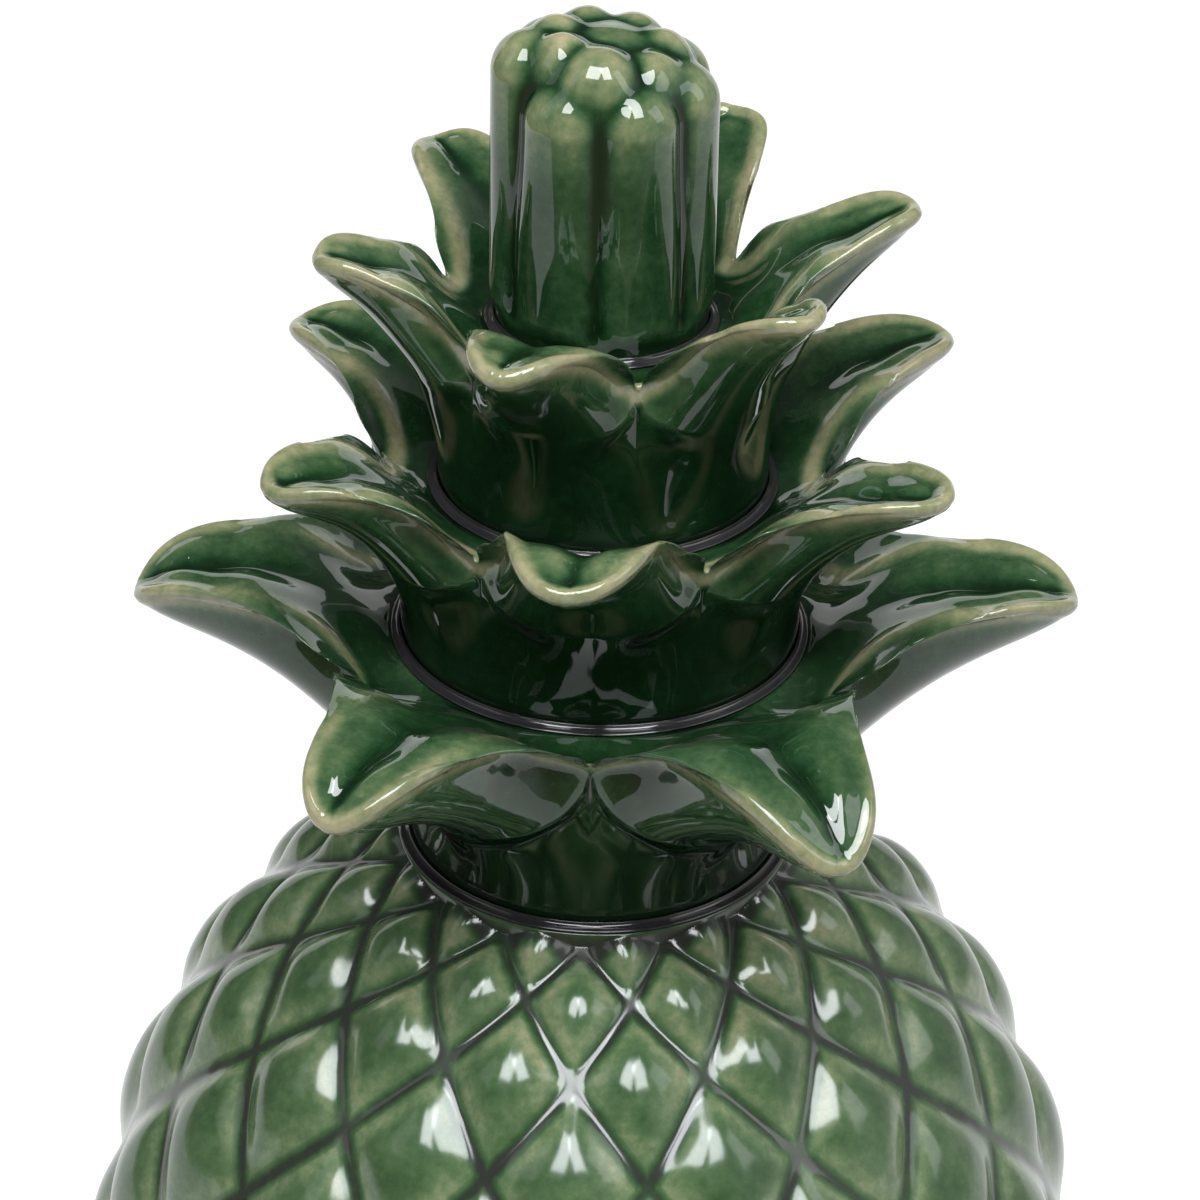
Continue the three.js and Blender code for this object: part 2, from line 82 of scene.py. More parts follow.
# Lines are radius and height over the seat, in millimetres. The last rows give each leaf its own
# lift, reach and arch in millimetres, its turn in degrees and its width as a share.
LOWER_TIER = {
    "bearing": -31.2, "foot": LOWER_FOOT, "carries": MIDDLE_FOOT, "offset": 0.0,
    "land": 54.0, "notch": (57.5, 55.0), "tip": (108.0, 59.0),
    "keel": ((48.0, 25.0), (78.0, 51.0)),
    "groove": ((62.0, 64.0), (101.0, 75.5)),
    "rim": ((64.0, 64.0), (98.0, 73.0)),
    "half_width": 17.8, "fold": 3.2, "bowl": 2.2,
    "lift": (0, -6.5, 5.5, 0, 0, 0), "reach": (0, 0, 0, 0, 0, -2), "turn": (0, 0, 0, 0, 0, 0),
    "arch": (0, 0, 0, 0, 0, 0), "width": (0.9, 1, 1, 1, 1, 1),
}
MIDDLE_TIER = {
    "bearing": -2.7, "foot": MIDDLE_FOOT, "carries": UPPER_FOOT, "offset": 0.0,
    "land": 38.8, "notch": (47.0, 39.0), "tip": (84.9, 57.0),
    "keel": ((46.5, 22.0), (61.0, 47.0)),
    "groove": ((50.0, 50.0), (77.0, 60.0)),
    "rim": ((53.0, 54.0), (76.0, 60.0)),
    "half_width": 13.8, "fold": 2.2, "bowl": 1.6,
    "lift": (0, 3, -1.5, 0, -4.5, -3.5), "reach": (0, 1.6, 3.5, 0, 0, -4), "turn": (-2.3, 0, 0, 0, 0, 0),
    "arch": (4, 0, 0, 0, 0, 0), "width": (1.22, 1, 1, 1, 1, 1),
}
UPPER_TIER = {
    "bearing": -19.3, "foot": UPPER_FOOT, "carries": BUD_FOOT, "offset": 1.0,
    "land": 39.7, "notch": (36.0, 40.5), "tip": (66.1, 60.6),
    "keel": ((38.0, 24.0), (48.0, 49.0)),
    "groove": ((38.0, 50.0), (59.0, 64.5)),
    "rim": ((41.0, 55.0), (60.0, 64.0)),
    "half_width": 11.2, "fold": 1.6, "bowl": 0.9,
    "lift": (-5, 3, 0.5, 4, -3.5, -3.5), "reach": (0, -1.5, 2.7, -3, 0, -2.5), "turn": (0, 0, 0, -8, -3, 0),
    "arch": (-1.5, 0, -1.5, 0, 0, -1.5), "width": (1.1, 1, 1, 1.6, 1.1, 1),
}
TIERS = {"lower_leaf_tier": LOWER_TIER, "middle_leaf_tier": MIDDLE_TIER, "upper_leaf_tier": UPPER_TIER}
NOTCH_SHARE = 0.43            # of the way from the foot to the tip
EDGE_ROOT = (0.3, 0.5)        # share of the blade over which its root narrows, and how abruptly
CORE_ROOT = (0.7, 1.0)
EDGE_HUG = 5.0
BLADE_POINT = 2.6
BLADE_ROUND = 0.52
KEEL_END = (-1.5, -6.0)       # underside and face of the tip, from the tip of the rim
GROOVE_END = (-1.0, 1.0)
NOSE = 9.0
FOLD_ALONG = (0.12, 0.5, 0.7, 1.0)
FOLD_FADE = 3
LIP = 0.7
LIP_START = 0.15
BOWL_ALONG = (0.05, 0.35, 0.72, 1.0)
BOWL_ACROSS = (0.5, 0.9)
LIP_REACH = 1.7
LOBING = 1.1
LOBE_SHARE = (0.2, 0.43)       # soft lobes of the cup turn into sections of leaves
KEEL_ROUND = 2.0
FACE_ROUND = 4.0
CREASE = 0.18
HAND_POWER = 1.5
ARCH_EARLY = 0.75
TIER_EDGE = 0.6

# Bud
BUD_CENTRE = 44.0             # rays leave the axis here, and level below it
BUD_HOLLOW = 14.0
BUD_ROOF = ((0.0, 53.3), (9.8, 49.8))
FOOT_BLEND = (3.0, 8.0)
BUD_BLEND = 0.9
FINGER_SQUARE = 2.3
FINGER_SPREAD = 0.16          # how much wider a finger is at the foot
SPREAD_START = 0.3            # share of its top up to which it stays so
# Fingers: bearing, top, distance of the middle from the axis, half width, half thickness and
# height of the rounded end
FINGERS = (
    (-30, 60.8, 16.2, 8.8, 8.3, 9), (22.5, 60.8, 16.2, 8.5, 8.3, 9),
    (73, 62, 16.2, 8.6, 8.3, 9), (125, 62, 16.2, 8.6, 8.3, 9),
    (177, 63, 16.2, 8.6, 8.3, 9), (229, 65, 16.2, 8.6, 8.3, 9),
    (-81, 67.5, 16.8, 8.1, 8, 9), (-8, 68, 12.6, 8.6, 8, 9),
    (47, 65.5, 12.6, 7.6, 7, 9), (100, 66.5, 11.5, 7.4, 7.4, 10),
    (151, 67, 11, 7.4, 7.6, 10), (203, 68, 11, 7.4, 7.6, 10),
    (256, 69, 11, 7.4, 7.6, 10), (-52, 69, 12, 7.2, 7.2, 11),
)
CORE_RADIUS = 17.8
CORE_SHOULDER = 48.0
CORE_TOP = 67.5

# Luting rings
LUTE_LIP = 0.4
COVE_POWER = 0.8

# Rims and curvature
RIM_ROUNDING = 2.0
NOTCH_ROUNDING = 4.0
NOTCH_REACH = 11.0
BEAD = 0.75
BAND_POWER = (1.5, 1.0)       # how abruptly the narrow and the wide band end
NEAR_EDGE = 4.0

# Steps of the fine surfaces
LATTICE_SAMPLES = 20001
CELL_STEPS = 28
CAVITY_ROWS = 13
LEAF_STEPS = 56
STATION_PINCH = (0.45, 4)     # stations crowd at the rims and at the crease
CUP_ROWS = 26
BLADE_ROWS = 54
BLADE_EASE = (1.6, 0.9, 1.5)  # rows of a blade crowd at the notch and at the tip
BUD_STEPS = 320
BUD_COLUMN_ROWS = 63
BUD_DOME_ROWS = 127
SEARCH_START = 36.0           # the bud's surface is searched inwards from here
SEARCH_END = 10.0
SEARCH_STEP = 0.5
SEARCH_HALVINGS = 9
LUTE_STEPS = 180
COVE_ROWS = 9
RIM_SAMPLES = 140
BATCH = 4000                  # points compared with the rims at a time
BLUR_ROUNDS = 12
NOTCH_ROUNDS = 60
MOST_PULL = 0.5               # a blur is steady up to this
WELD = 1e-3
SHORTEST = 1e-9
TINY = 1e-12


def smooth(value, low, high):
    """0 up to low and 1 from high, with an even step between."""
    t = np.clip((value - low) / (high - low), 0.0, 1.0)
    return t * t * (3.0 - 2.0 * t)


def polar(bearing, radius, height):
    """Points at bearings in radians from -Y towards +X."""
    bearing, radius, height = np.broadcast_arrays(bearing, radius, height)
    return np.stack([radius * np.sin(bearing), -radius * np.cos(bearing), height], -1)


def land_radius(foot, offset=0.0):
    """Radius of the land round the foot of the cast that stands on it."""
    return foot + LUTE_WIDTH + 2 * LUTE_GAP + offset


class Skin:
    """Gathers grids of points and their faces, and welds them into one surface."""

    def __init__(self):
        self.points = []
        self.faces = []
        self.count = 0

    def row(self, points):
        """Adds points and returns their numbers."""
        first = self.count
        self.points.append(points)
        self.count += len(points)
        return np.arange(first, self.count)

    def bridge(self, a, b, wrap=True):
        """Faces between two rows, closed into a ring unless wrap is off."""
        nxt = np.roll(np.arange(len(a)), -1)
        keep = slice(None) if wrap else slice(0, len(a) - 1)
        self.faces.append(np.stack([a, a[nxt], b[nxt], b], -1)[keep])

    def bridge_all(self, rows, wrap=True):
        for a, b in zip(rows[:-1], rows[1:]):
            self.bridge(a, b, wrap)

    def welded(self):
        """Points and faces with equal points merged and empty faces left out."""
        points = np.concatenate(self.points)
        faces = np.concatenate(self.faces)
        _, first, inverse = np.unique(
            np.round(points / WELD).astype(np.int64), axis=0, return_index=True, return_inverse=True)
        faces = inverse.ravel()[faces]
        kept = []
        for quad in faces.tolist():
            loop = [v for i, v in enumerate(quad) if v != quad[i - 1]]
            if len(set(loop)) >= 3 and len(set(loop)) == len(loop):
                kept.append(loop)
        return points[first], kept


def ring(steps, radius, height, shift=0.0):
    """A level circle of points, turned by a share of a step."""
    return polar(2 * math.pi * (np.arange(steps) + shift) / steps, radius, height)


# Fruit

def crest(angle, inset=0.0):
    """Radius and height of the fruit's outline, by the angle from the top."""
    drop = np.where(angle < math.pi / 2, SHOULDER_RISE, BELLY_DROP)
    return (FRUIT_RADIUS - inset) * np.sin(angle), WIDEST_HEIGHT + (drop - inset) * np.cos(angle)


def lattice_angles():
    """Angles of the rows of the diamond lattice, with the count of groove crossings climbed at each."""
    start = math.asin(land_radius(LOWER_FOOT) / FRUIT_RADIUS)
    end = math.pi - math.asin(FOOT_RADIUS / FRUIT_RADIUS)
    angle = np.linspace(start, end, LATTICE_SAMPLES)
    radius, height = crest(angle)
    run = np.hypot(np.diff(radius), np.diff(height))
    count = np.concatenate([[0], np.cumsum(run * CELLS_AROUND / (CELL_SLANT * math.pi * radius[1:]))])
    rows = np.arange(0, count[-1], 1 / CELL_STEPS)
    rows = np.append(rows[:-1], count[-1])
    return np.interp(rows, count, angle), rows


def cell_height(across):
    """0 in a groove and 1 in the middle between two, across one family of grooves."""
    share = np.abs(across - np.round(across))
    share = np.sqrt(share ** 2 + GROOVE_ROUND ** 2) - GROOVE_ROUND
    return 1 - (1 - 2 * share) ** CELL_FULLNESS


def quilted(angle, count, turn):
    """Points of one row of the quilted skin."""
    radius, height = crest(angle)
    drop = np.where(angle < math.pi / 2, SHOULDER_RISE, BELLY_DROP)
    slope = np.arctan2(FRUIT_RADIUS * np.cos(angle), drop * np.sin(angle))
    fade = smooth(height, FOOT_HEIGHT, FOOT_HEIGHT + 2 * CELL_RISE)
    cell = cell_height(turn + count / 2) * cell_height(turn - count / 2)
    inset = CELL_RISE * (1 - cell) * fade
    bearing = 2 * math.pi * turn / CELLS_AROUND + math.radians(CELL_BEARING)
    return polar(bearing, radius - inset * np.cos(slope), height - inset * np.sin(slope))


def neck_land():
    """Height of the seat on which the crown stands."""
    angle = math.asin(land_radius(LOWER_FOOT) / FRUIT_RADIUS)
    return float(crest(np.array(angle))[1]) + NECK_LAND_RISE


def quilt(skin, steps):
    """Rows of the skin, each shifted by half a step, with the diamonds between them as faces."""
    angles, counts = lattice_angles()
    last = len(angles) - 1
    turns = [(np.arange(steps) + 0.5 * (m % 2)) / CELL_STEPS for m in range(last + 1)]
    rows = [skin.row(quilted(a, c, t)) for a, c, t in zip(angles, counts, turns)]
    here = np.arange(steps)
    nxt = np.roll(here, -1)
    for m in range(last + 1):
        left, right = rows[m], rows[m][nxt]
        apex = here if m % 2 == 0 else nxt
        if 0 < m < last:
            skin.faces.append(np.stack([rows[m - 1][apex], left, rows[m + 1][apex], right], -1))
        elif m == 0:
            skin.faces.append(np.stack([left, rows[1][apex], right, right], -1))
        else:
            skin.faces.append(np.stack([left, right, rows[m - 1][apex], rows[m - 1][apex]], -1))
    return rows


def foot_profile(floor):
    """Foot ring, recessed base and vent, from the outside in, as radius and height."""
    outer = FOOT_RADIUS - FOOT_STEP
    inner = outer - FOOT_RING_WIDTH
    return (
        (outer + FOOT_FLARE, FOOT_HEIGHT - FOOT_STEP), (outer, FOOT_HEIGHT - 2 * FOOT_STEP),
        (outer, FOOT_EDGE), (outer - FOOT_EDGE, 0.0), (inner + FOOT_EDGE, 0.0), (inner, FOOT_EDGE),
        (inner - BASE_RECESS, BASE_RECESS), (VENT_RADIUS + FOOT_EDGE, BASE_RECESS),
        (VENT_RADIUS, BASE_RECESS + FOOT_EDGE), (VENT_RADIUS, floor))


def fruit_skin():
    """Hollow shell: quilted skin, mouth, cavity and foot."""
    skin = Skin()
    steps = CELLS_AROUND * CELL_STEPS
    shift = CELL_BEARING * steps / 360
    rows = quilt(skin, steps)
    land = neck_land()
    lip = land_radius(LOWER_FOOT)
    mouth = [skin.row(ring(steps, lip - r, land - z, shift)) for r, z in MOUTH_EDGE]
    mouth.append(skin.row(ring(steps, LOWER_FOOT - FOOT_WALL, land, shift)))
    floor = BASE_RECESS + BASE_WALL
    inset = CELL_RISE + FRUIT_WALL
    high = math.asin((LOWER_FOOT - FOOT_WALL) / (FRUIT_RADIUS - inset))
    low = math.pi - math.acos((WIDEST_HEIGHT - floor) / (BELLY_DROP - inset))
    cavity = [skin.row(ring(steps, *crest(angle, inset), shift))
              for angle in np.linspace(high, low, CAVITY_ROWS)]
    half = shift + 0.5 * ((len(rows) - 1) % 2)
    foot = [skin.row(ring(steps, r, z, half)) for r, z in foot_profile(floor)]
    skin.bridge_all([rows[0], *mouth, *cavity, foot[-1]])
    skin.bridge_all([*foot[::-1], rows[-1]])
    return skin


# Leaf tiers

def bezier(handles, share):
    """Radius and height along a curve with four handles."""
    a, b, c, d = (np.asarray(h, float).reshape(2, *([1] * np.ndim(share))) for h in handles)
    rest = 1 - share
    return rest ** 3 * a + 3 * rest ** 2 * share * b + 3 * rest * share ** 2 * c + share ** 3 * d


def tier_lines(tier):
    """Handles of a leaf's underside, face and rim."""
    return {
        "keel": ((tier["foot"], FOOT_BAND), *tier["keel"], np.add(tier["tip"], KEEL_END)),
        "groove": ((land_radius(tier["carries"], tier["offset"]), tier["land"]), *tier["groove"],
                   np.add(tier["tip"], GROOVE_END)),
        "rim": (tier["notch"], *tier["rim"], tier["tip"]),
    }


def half_width(tier, leaf, share, root_share, root_power):
    """Half of a blade's width at a share of the way from the notch to the tip."""
    root_width = SECTOR * tier["notch"][0]
    widest = tier["half_width"] * tier["width"][leaf]
    blade = widest * np.maximum(0, 1 - share ** BLADE_POINT) ** BLADE_ROUND
    root = np.maximum(0, 1 - (share / root_share) ** root_power)
    return blade + (root_width - widest) * root ** 2


def rim_line(lines, share):
    """Radius and height of the rim, which starts in the middle of the cup's wall at the foot."""
    blade = np.clip((share - NOTCH_SHARE) / (1 - NOTCH_SHARE), 0, 1)
    out = bezier(lines["rim"], blade)
    rise = np.clip(share / NOTCH_SHARE, 0, 1) ** 2
    middle = (bezier(lines["keel"], share) + bezier(lines["groove"], share)) / 2
    ends = np.array([NOTCH_SHARE])
    middle_end = (bezier(lines["keel"], ends) + bezier(lines["groove"], ends)) / 2
    notch = np.asarray(lines["rim"][0], float)[:, None]
    return np.where(share > NOTCH_SHARE, out, middle + (notch - middle_end) * rise)


def section_depth(side, share, blade, reach):
    """How far a point lies out from the rim towards the middle of its side, as a share."""
    edge = np.where(blade > 0, 0, 1 - np.clip(share / NOTCH_SHARE, 0, 1) ** LOBING)
    power = KEEL_ROUND if side == "keel" else FACE_ROUND
    lobe = edge + (1 - edge) * (1 + np.cos(math.pi * reach)) / 2
    section = np.sqrt(np.maximum(0, 1 - (1 - edge ** 2) * reach ** power))
    depth = lobe + (section - lobe) * smooth(share, *LOBE_SHARE)
    return depth * np.sqrt(np.maximum(0, 1 - blade ** NOSE))


def face_reliefs(tier, leaf, share, blade, reach):
    """Fold, raised lip and hollow of a leaf's face, as heights."""
    swell = smooth(share, *FOLD_ALONG[:2]) * (1 - smooth(share, *FOLD_ALONG[2:]))
    fold = tier["fold"] * swell * (1 - np.exp(-(reach / CREASE) ** 2)) * (1 - reach ** FOLD_FADE)
    inside = (1 - reach) * half_width(tier, leaf, blade, *CORE_ROOT) / LIP_REACH
    lip = LIP * smooth(blade, 0, LIP_START) * inside * np.exp(1 - inside)
    along = smooth(blade, *BOWL_ALONG[:2]) * (1 - smooth(blade, *BOWL_ALONG[2:]))
    bowl = tier["bowl"] * along * (1 - smooth(reach, *BOWL_ACROSS))
    return fold, lip, -bowl


def leaf_points(tier, leaf, side, shares, stations):
    """Grid of points, shares from the foot to the tip by stations from -1 to 1 across."""
    lines = tier_lines(tier)
    line = bezier(lines[side], shares)[:, :, None]
    rim = rim_line(lines, shares)[:, :, None]
    share = shares[:, None]
    reach = np.abs(stations)[None, :]
    blade = np.clip((share - NOTCH_SHARE) / (1 - NOTCH_SHARE), 0, 1)
    depth = section_depth(side, share, blade, reach)
    radius = rim[0] + (line[0] - rim[0]) * depth
    height = rim[1] + (line[1] - rim[1]) * depth
    if side == "groove":
        for relief in face_reliefs(tier, leaf, share, blade, reach):
            height = height + relief
    hand = blade ** HAND_POWER
    radius = radius + tier["reach"][leaf] * hand
    arch = np.sin(math.pi * blade ** ARCH_EARLY) ** 2
    height = height + tier["lift"][leaf] * hand + tier["arch"][leaf] * arch
    edge_angle = np.where(blade > 0, half_width(tier, leaf, blade, *EDGE_ROOT) / rim[0], SECTOR)
    core_angle = np.where(blade > 0, half_width(tier, leaf, blade, *CORE_ROOT) / rim[0], SECTOR)
    mix = reach ** EDGE_HUG
    swing = (core_angle * (1 - mix) + edge_angle * mix) * stations[None, :]
    bearing = np.radians(tier["bearing"] + tier["turn"][leaf] * hand) + 2 * SECTOR * leaf + swing
    return polar(bearing, radius, height)


def leaf_shares():
    """Places of the rows from the foot to the tip."""
    even = np.linspace(0, 1, BLADE_ROWS + 1)
    start, bulge, end = BLADE_EASE
    eased = even ** start * (1 + bulge * (1 - even))
    eased = 1 - (1 - eased) ** end
    cup = np.linspace(0, NOTCH_SHARE, CUP_ROWS + 1)[:-1]
    return np.concatenate([cup, NOTCH_SHARE + (1 - NOTCH_SHARE) * eased])


def leaf_stations():
    """Places across a leaf, from -1 to 1."""
    halves = np.linspace(-1, 1, LEAF_STEPS + 1)
    pinch, power = STATION_PINCH
    return np.sin(math.pi / 2 * halves) * (1 - pinch * (1 - halves ** 2) ** power)


def tier_skin(tier):
    """Cup of six leaves with its land, bore and foot."""
    skin = Skin()
    shares, stations = leaf_shares(), leaf_stations()
    for leaf in range(LEAVES):
        for side in ("keel", "groove"):
            grid = leaf_points(tier, leaf, side, shares, stations)
            rows = [skin.row(points) for points in grid]
            skin.bridge_all(rows if side == "keel" else rows[::-1], wrap=False)
    bearings = (math.radians(tier["bearing"]) + SECTOR * (
        2 * np.arange(LEAVES)[:, None] + stations[None, :-1])).ravel()
    land, foot = tier["land"], tier["foot"]
    bore, hole = foot - FOOT_WALL, tier["carries"] - FOOT_WALL
    rows = [skin.row(polar(bearings, r, z)) for r, z in (
        (land_radius(tier["carries"], tier["offset"]), land), (hole, land),
        (hole, land - LAND_THICKNESS / 2), (bore, land - LAND_THICKNESS), (bore, LUTE_GAP),
        (foot - TIER_EDGE, LUTE_GAP), (foot, LUTE_GAP + TIER_EDGE), (foot, FOOT_BAND))]
    skin.bridge_all(rows)
    return skin


# Bud

def finger(x, y, z, bearing, top, centre, half_width, half_depth, end):
    """Negative inside one upright leaf with a rounded end."""
    t = math.radians(bearing)
    out = (x * math.sin(t) - y * math.cos(t) - centre) / half_depth
    spread = 1 + FINGER_SPREAD * (1 - smooth(z, SPREAD_START * top, top - end))
    across = (x * math.cos(t) + y * math.sin(t)) / (half_width * spread)
    rise = np.maximum(0, z - (top - end)) / end
    section = np.abs(out) ** FINGER_SQUARE + np.abs(across) ** FINGER_SQUARE
    return (np.sqrt(section ** (2 / FINGER_SQUARE) + rise ** 2) - 1) * half_depth


def bud_field(x, y, z):
    """Negative inside the bud, in millimetres near its surface."""
    rise = np.maximum(0, z - CORE_SHOULDER) / (CORE_TOP - CORE_SHOULDER)
    core = (np.sqrt((np.hypot(x, y) / CORE_RADIUS) ** 2 + rise ** 2) - 1) * CORE_RADIUS
    fields = np.array([core, *(finger(x, y, z, *form) for form in FINGERS)])
    lowest = fields.min(0)
    return lowest - BUD_BLEND * np.log(np.exp(-(fields - lowest) / BUD_BLEND).sum(0))


def bud_surface(bearing, origin, lean):
    """Where rays from the axis leave the bud: origin is their height, lean their angle over level."""
    sine, cosine = np.sin(bearing), -np.cos(bearing)

    def field(reach):
        flat = reach * math.cos(lean)
        return bud_field(flat * sine, flat * cosine, origin + reach * math.sin(lean))

    outside = np.full(bearing.shape, SEARCH_START)
    inside = np.full(bearing.shape, SEARCH_START)
    found = np.zeros(bearing.shape, bool)
    for reach in np.arange(SEARCH_START - SEARCH_STEP, SEARCH_END, -SEARCH_STEP):
        hit = (field(np.full(bearing.shape, reach)) < 0) & ~found
        inside[hit], outside[hit] = reach, reach + SEARCH_STEP
        found |= hit
    for _ in range(SEARCH_HALVINGS):
        middle = (inside + outside) / 2
        within = field(middle) < 0
        inside, outside = np.where(within, middle, inside), np.where(within, outside, middle)
    reach = (inside + outside) / 2
    return reach * math.cos(lean), origin + reach * math.sin(lean)


def bud_skin():
    """Leaves pressed together: a column, a dome and the hollow inside."""
    skin = Skin()
    bearing = 2 * math.pi * np.arange(BUD_STEPS) / BUD_STEPS
    outer = []
    foot = np.full(BUD_STEPS, BUD_FOOT)
    for height in np.linspace(LUTE_GAP, BUD_CENTRE, BUD_COLUMN_ROWS):
        radius, _ = bud_surface(bearing, height, 0.0)
        share = smooth(height, *FOOT_BLEND)
        outer.append(skin.row(polar(bearing, foot * (1 - share) + radius * share, height)))
    for lean in np.linspace(0, math.pi / 2, BUD_DOME_ROWS)[1:]:
        outer.append(skin.row(polar(bearing, *bud_surface(bearing, BUD_CENTRE, lean))))
    inner = [skin.row(polar(bearing, r, z)) for r, z in (
        *BUD_ROOF, (BUD_HOLLOW, BUD_CENTRE), (BUD_HOLLOW, LUTE_GAP))]
    skin.bridge_all([*inner, *outer])
    return skin


def lute_skin(foot):
    """Fillet of pooled glaze with a hollow curve, round the foot of a cast."""
    skin = Skin()
    inner = foot + LUTE_GAP
    low = LUTE_GAP + LUTE_LIP
    turn = np.linspace(0, math.pi / 2, COVE_ROWS)
    cove = [(inner + LUTE_WIDTH * (1 - math.sin(math.pi / 2 - t) ** COVE_POWER),
             low + (LUTE_HEIGHT - LUTE_GAP - LUTE_LIP) * (1 - math.sin(t) ** COVE_POWER)) for t in turn]
    profile = [(inner, LUTE_GAP), *cove, (inner + LUTE_WIDTH, LUTE_GAP)]
    rows = [skin.row(ring(LUTE_STEPS, r, z)) for r, z in profile]
    skin.bridge_all([*rows, rows[0]][::-1])
    return skin


# Assembly

def seats():
    """Heights on which the three tiers and the bud stand."""
    neck = neck_land()
    middle = neck + LOWER_TIER["land"]
    upper = middle + MIDDLE_TIER["land"]
    return neck, middle, upper, upper + UPPER_TIER["land"]


def pieces():
    """Name, points in millimetres and faces of every piece, all where they stand in the part."""
    neck, middle, upper, bud = seats()
    made = [
        ("fruit", fruit_skin(), (0, 0, 0)),
        ("lower_leaf_tier", tier_skin(LOWER_TIER), (0, 0, neck)),
        ("middle_leaf_tier", tier_skin(MIDDLE_TIER), (0, 0, middle)),
        ("upper_leaf_tier", tier_skin(UPPER_TIER), (0, 0, upper)),
        ("leaf_bud", bud_skin(), (BUD_OFFSET, 0, bud)),
        ("neck_luting_ring", lute_skin(LOWER_FOOT), (0, 0, neck)),
        ("middle_luting_ring", lute_skin(MIDDLE_FOOT), (0, 0, middle)),
        ("upper_luting_ring", lute_skin(UPPER_FOOT), (0, 0, upper)),
        ("bud_luting_ring", lute_skin(BUD_FOOT), (BUD_OFFSET, 0, bud)),
    ]
    for name, skin, shift in made:
        points, faces = skin.welded()
        yield name, points + np.array(shift, float), faces


# Rims and curvature

def rim_points(tier, seat):
    """Points along both rims of every leaf, close together near the notches."""
    shares = NOTCH_SHARE + (1 - NOTCH_SHARE) * np.linspace(0, 1, RIM_SAMPLES) ** 2
    grids = [leaf_points(tier, leaf, "keel", shares, np.array([-1.0, 1.0])) for leaf in range(LEAVES)]
    return np.concatenate([grid.reshape(-1, 3) for grid in grids]) + seat


def rim_band(points, rims, outside, inside):
    """Two bands, narrow and wide, that are 1 on a rim and fade over one length below and one above."""
    band = np.zeros((2, len(points)))
    for start in range(0, len(points), BATCH):
        part = points[start:start + BATCH]
        gap = part[:, None] - rims[None]
        distance = np.einsum("ijk,ijk->ij", gap, gap)
        nearest = distance.argmin(1)
        rows = np.arange(len(part))
        below = gap[rows, nearest, 2] < 0
        for k, power in enumerate(BAND_POWER):
            reach = np.where(below, outside[k], inside[k])
            band[k, start:start + BATCH] = np.exp(-(distance[rows, nearest] / reach ** 2) ** power)
    return band


def by_size(faces):
    """Triangles and quads, each as one array of corners."""
    groups = [[face for face in faces if len(face) == size] for size in (3, 4)]
    return [np.array(group, int) for group in groups if group]


def vertex_normals(points, faces):
    """Normals at the points, in which large faces count for more."""
    normals = np.zeros_like(points)
    for group in by_size(faces):
        size = group.shape[1]
        a, b, c, d = (points[group[:, k]] for k in (0, 1, 2, -1))
        area = np.cross(b - a, c - a) if size == 3 else np.cross(c - a, d - b)
        for corner in range(size):
            for axis in range(3):
                normals[:, axis] += np.bincount(group[:, corner], area[:, axis], len(points))
    return normals / (np.linalg.norm(normals, axis=1)[:, None] + TINY)


def edge_list(faces):
    """Every edge once, as pairs of points."""
    pairs = [np.stack([group[:, k], group[:, (k + 1) % group.shape[1]]], -1)
             for group in by_size(faces) for k in range(group.shape[1])]
    return np.unique(np.sort(np.concatenate(pairs), axis=1), axis=0)


def blurred(value, points, edges, reach, rounds=BLUR_ROUNDS):
    """Values at the points, one row each, blurred along the surface over about reach millimetres."""
    a, b = edges
    length = np.linalg.norm(points[b] - points[a], axis=1) + SHORTEST
    count = len(points)
    total = np.bincount(a, length, count) + np.bincount(b, length, count) + TINY
    step = reach / math.sqrt(rounds)
    pull = np.minimum(MOST_PULL, step ** 2 / (2 * length ** 2)) * length
    value = np.array(value, float)
    for _ in range(rounds):
        for column in value.T:
            flow = pull * (column[b] - column[a])
            column += (np.bincount(a, flow, count) - np.bincount(b, flow, count)) / total
    return value


def bend(points, faces, reach):
    """Signed curvature in 1/mm, convex positive, blurred over about reach millimetres."""
    normals = vertex_normals(points, faces)
    edges = edge_list(faces).T
    a, b = edges
    run = points[b] - points[a]
    length = np.linalg.norm(run, axis=1) + SHORTEST
    turned = np.einsum("ij,ij->i", normals[b] - normals[a], run) / length ** 2
    count = len(points)
    near = np.minimum(length, NEAR_EDGE)
    value = np.bincount(a, turned * near, count) + np.bincount(b, turned * near, count)
    value /= np.bincount(a, near, count) + np.bincount(b, near, count) + TINY
    return blurred(value[:, None], points, edges, reach)[:, 0]


def near_notches(points, tier, seat):
    """1 at the notches between the leaves, fading over NOTCH_REACH."""
    share, rim = np.array([NOTCH_SHARE]), np.array([-1.0])
    spots = [leaf_points(tier, leaf, "keel", share, rim)[0, 0] for leaf in range(LEAVES)]
    gaps = [np.linalg.norm(points - spot - seat, axis=1) for spot in spots]
    return np.exp(-(np.min(gaps, axis=0) / NOTCH_REACH) ** 2)


def beaded(points, faces, band, notch):
    """Softens the notches of a tier, rounds its rims and swells them into a low bead."""
    edges = edge_list(faces).T
    soft = blurred(points, points, edges, NOTCH_ROUNDING, NOTCH_ROUNDS)
    points = points + (soft - points) * notch[:, None]
    soft = blurred(points, points, edges, RIM_ROUNDING)
    points = points + (soft - points) * band[1][:, None]
    return points + BEAD * (band[0] * band[1])[:, None] * vertex_normals(points, faces)


# Materials

